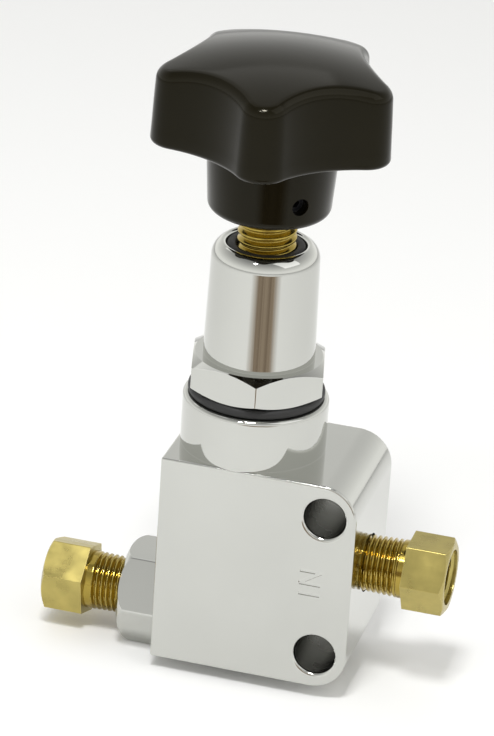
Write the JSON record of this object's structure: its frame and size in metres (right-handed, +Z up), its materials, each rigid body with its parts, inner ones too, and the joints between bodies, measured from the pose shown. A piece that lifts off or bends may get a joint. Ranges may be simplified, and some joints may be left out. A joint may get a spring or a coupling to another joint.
{
  "type": "adjustable proportioning valve",
  "caption": "Aluminium block valve with a lobed knob on a threaded stem, a hexagonal bonnet, brass adapters for inlet and outlet tubes, and through holes for mounting.",
  "frame": {"origin": "centre of the two-hole mounting pattern, on the back face of the body", "axes": "+X out of the inlet port, +Y out of the back face against the bracket, +Z up along the adjuster stem"},
  "size_m": [0.0713, 0.0393, 0.1113],
  "materials": {
    "polished_aluminium": "polished, with a fine satin grain on the flat faces",
    "brass": "machined, lightly dulled",
    "black_phenolic": "glossy moulded",
    "black_rubber": "matt",
    "seal_plastic": "matt",
    "spring_steel": "ground",
    "blackened_steel": "blackened"
  },
  "bodies": {
    "housing": {"valve_body": "polished_aluminium", "outlet_plug": "polished_aluminium", "outlet_plug_o_ring": "black_rubber", "inlet_adapter": "brass", "outlet_adapter": "brass", "bonnet": "polished_aluminium", "bonnet_o_ring": "black_rubber", "stem_dust_seal": "black_rubber", "main_spring": "spring_steel", "piston_gland": "brass", "gland_o_ring": "black_rubber", "piston_o_ring": "black_rubber", "backup_ring": "seal_plastic", "inlet_cage": "brass", "valve_seat": "brass", "seat_seal": "black_rubber"},
    "follower": {"upper_spring_seat": "spring_steel", "thrust_ball": "spring_steel"},
    "adjuster": {"adjuster_screw": "brass", "knob": "black_phenolic", "knob_insert": "brass", "knob_set_screw": "blackened_steel", "stem_retaining_ring": "spring_steel"},
    "piston": {"piston": "spring_steel", "lower_spring_seat": "spring_steel"}
  },
  "joints": [
    {"name": "adjuster_travel", "type": "slide", "parent": "housing", "child": "follower", "axis": [0, 0, 1], "range_m": [-0.0045, 0.0045], "deforming": ["main_spring"]},
    {"name": "knob_turn", "type": "hinge", "parent": "follower", "child": "adjuster", "pos_m": [-0.0164, -0.0126, 0.06], "axis": [0, 0, 1], "range_deg": [-1081, 1081]},
    {"name": "piston_stroke", "type": "slide", "parent": "housing", "child": "piston", "axis": [0, 0, 1], "range_m": [0, 0.0012], "stiffness_N_per_m": 500, "deforming": ["main_spring"]}
  ],
  "couplings": [
    {"joint": "knob_turn", "follows": "adjuster_travel", "rad_per_m": 4188.8}
  ]
}
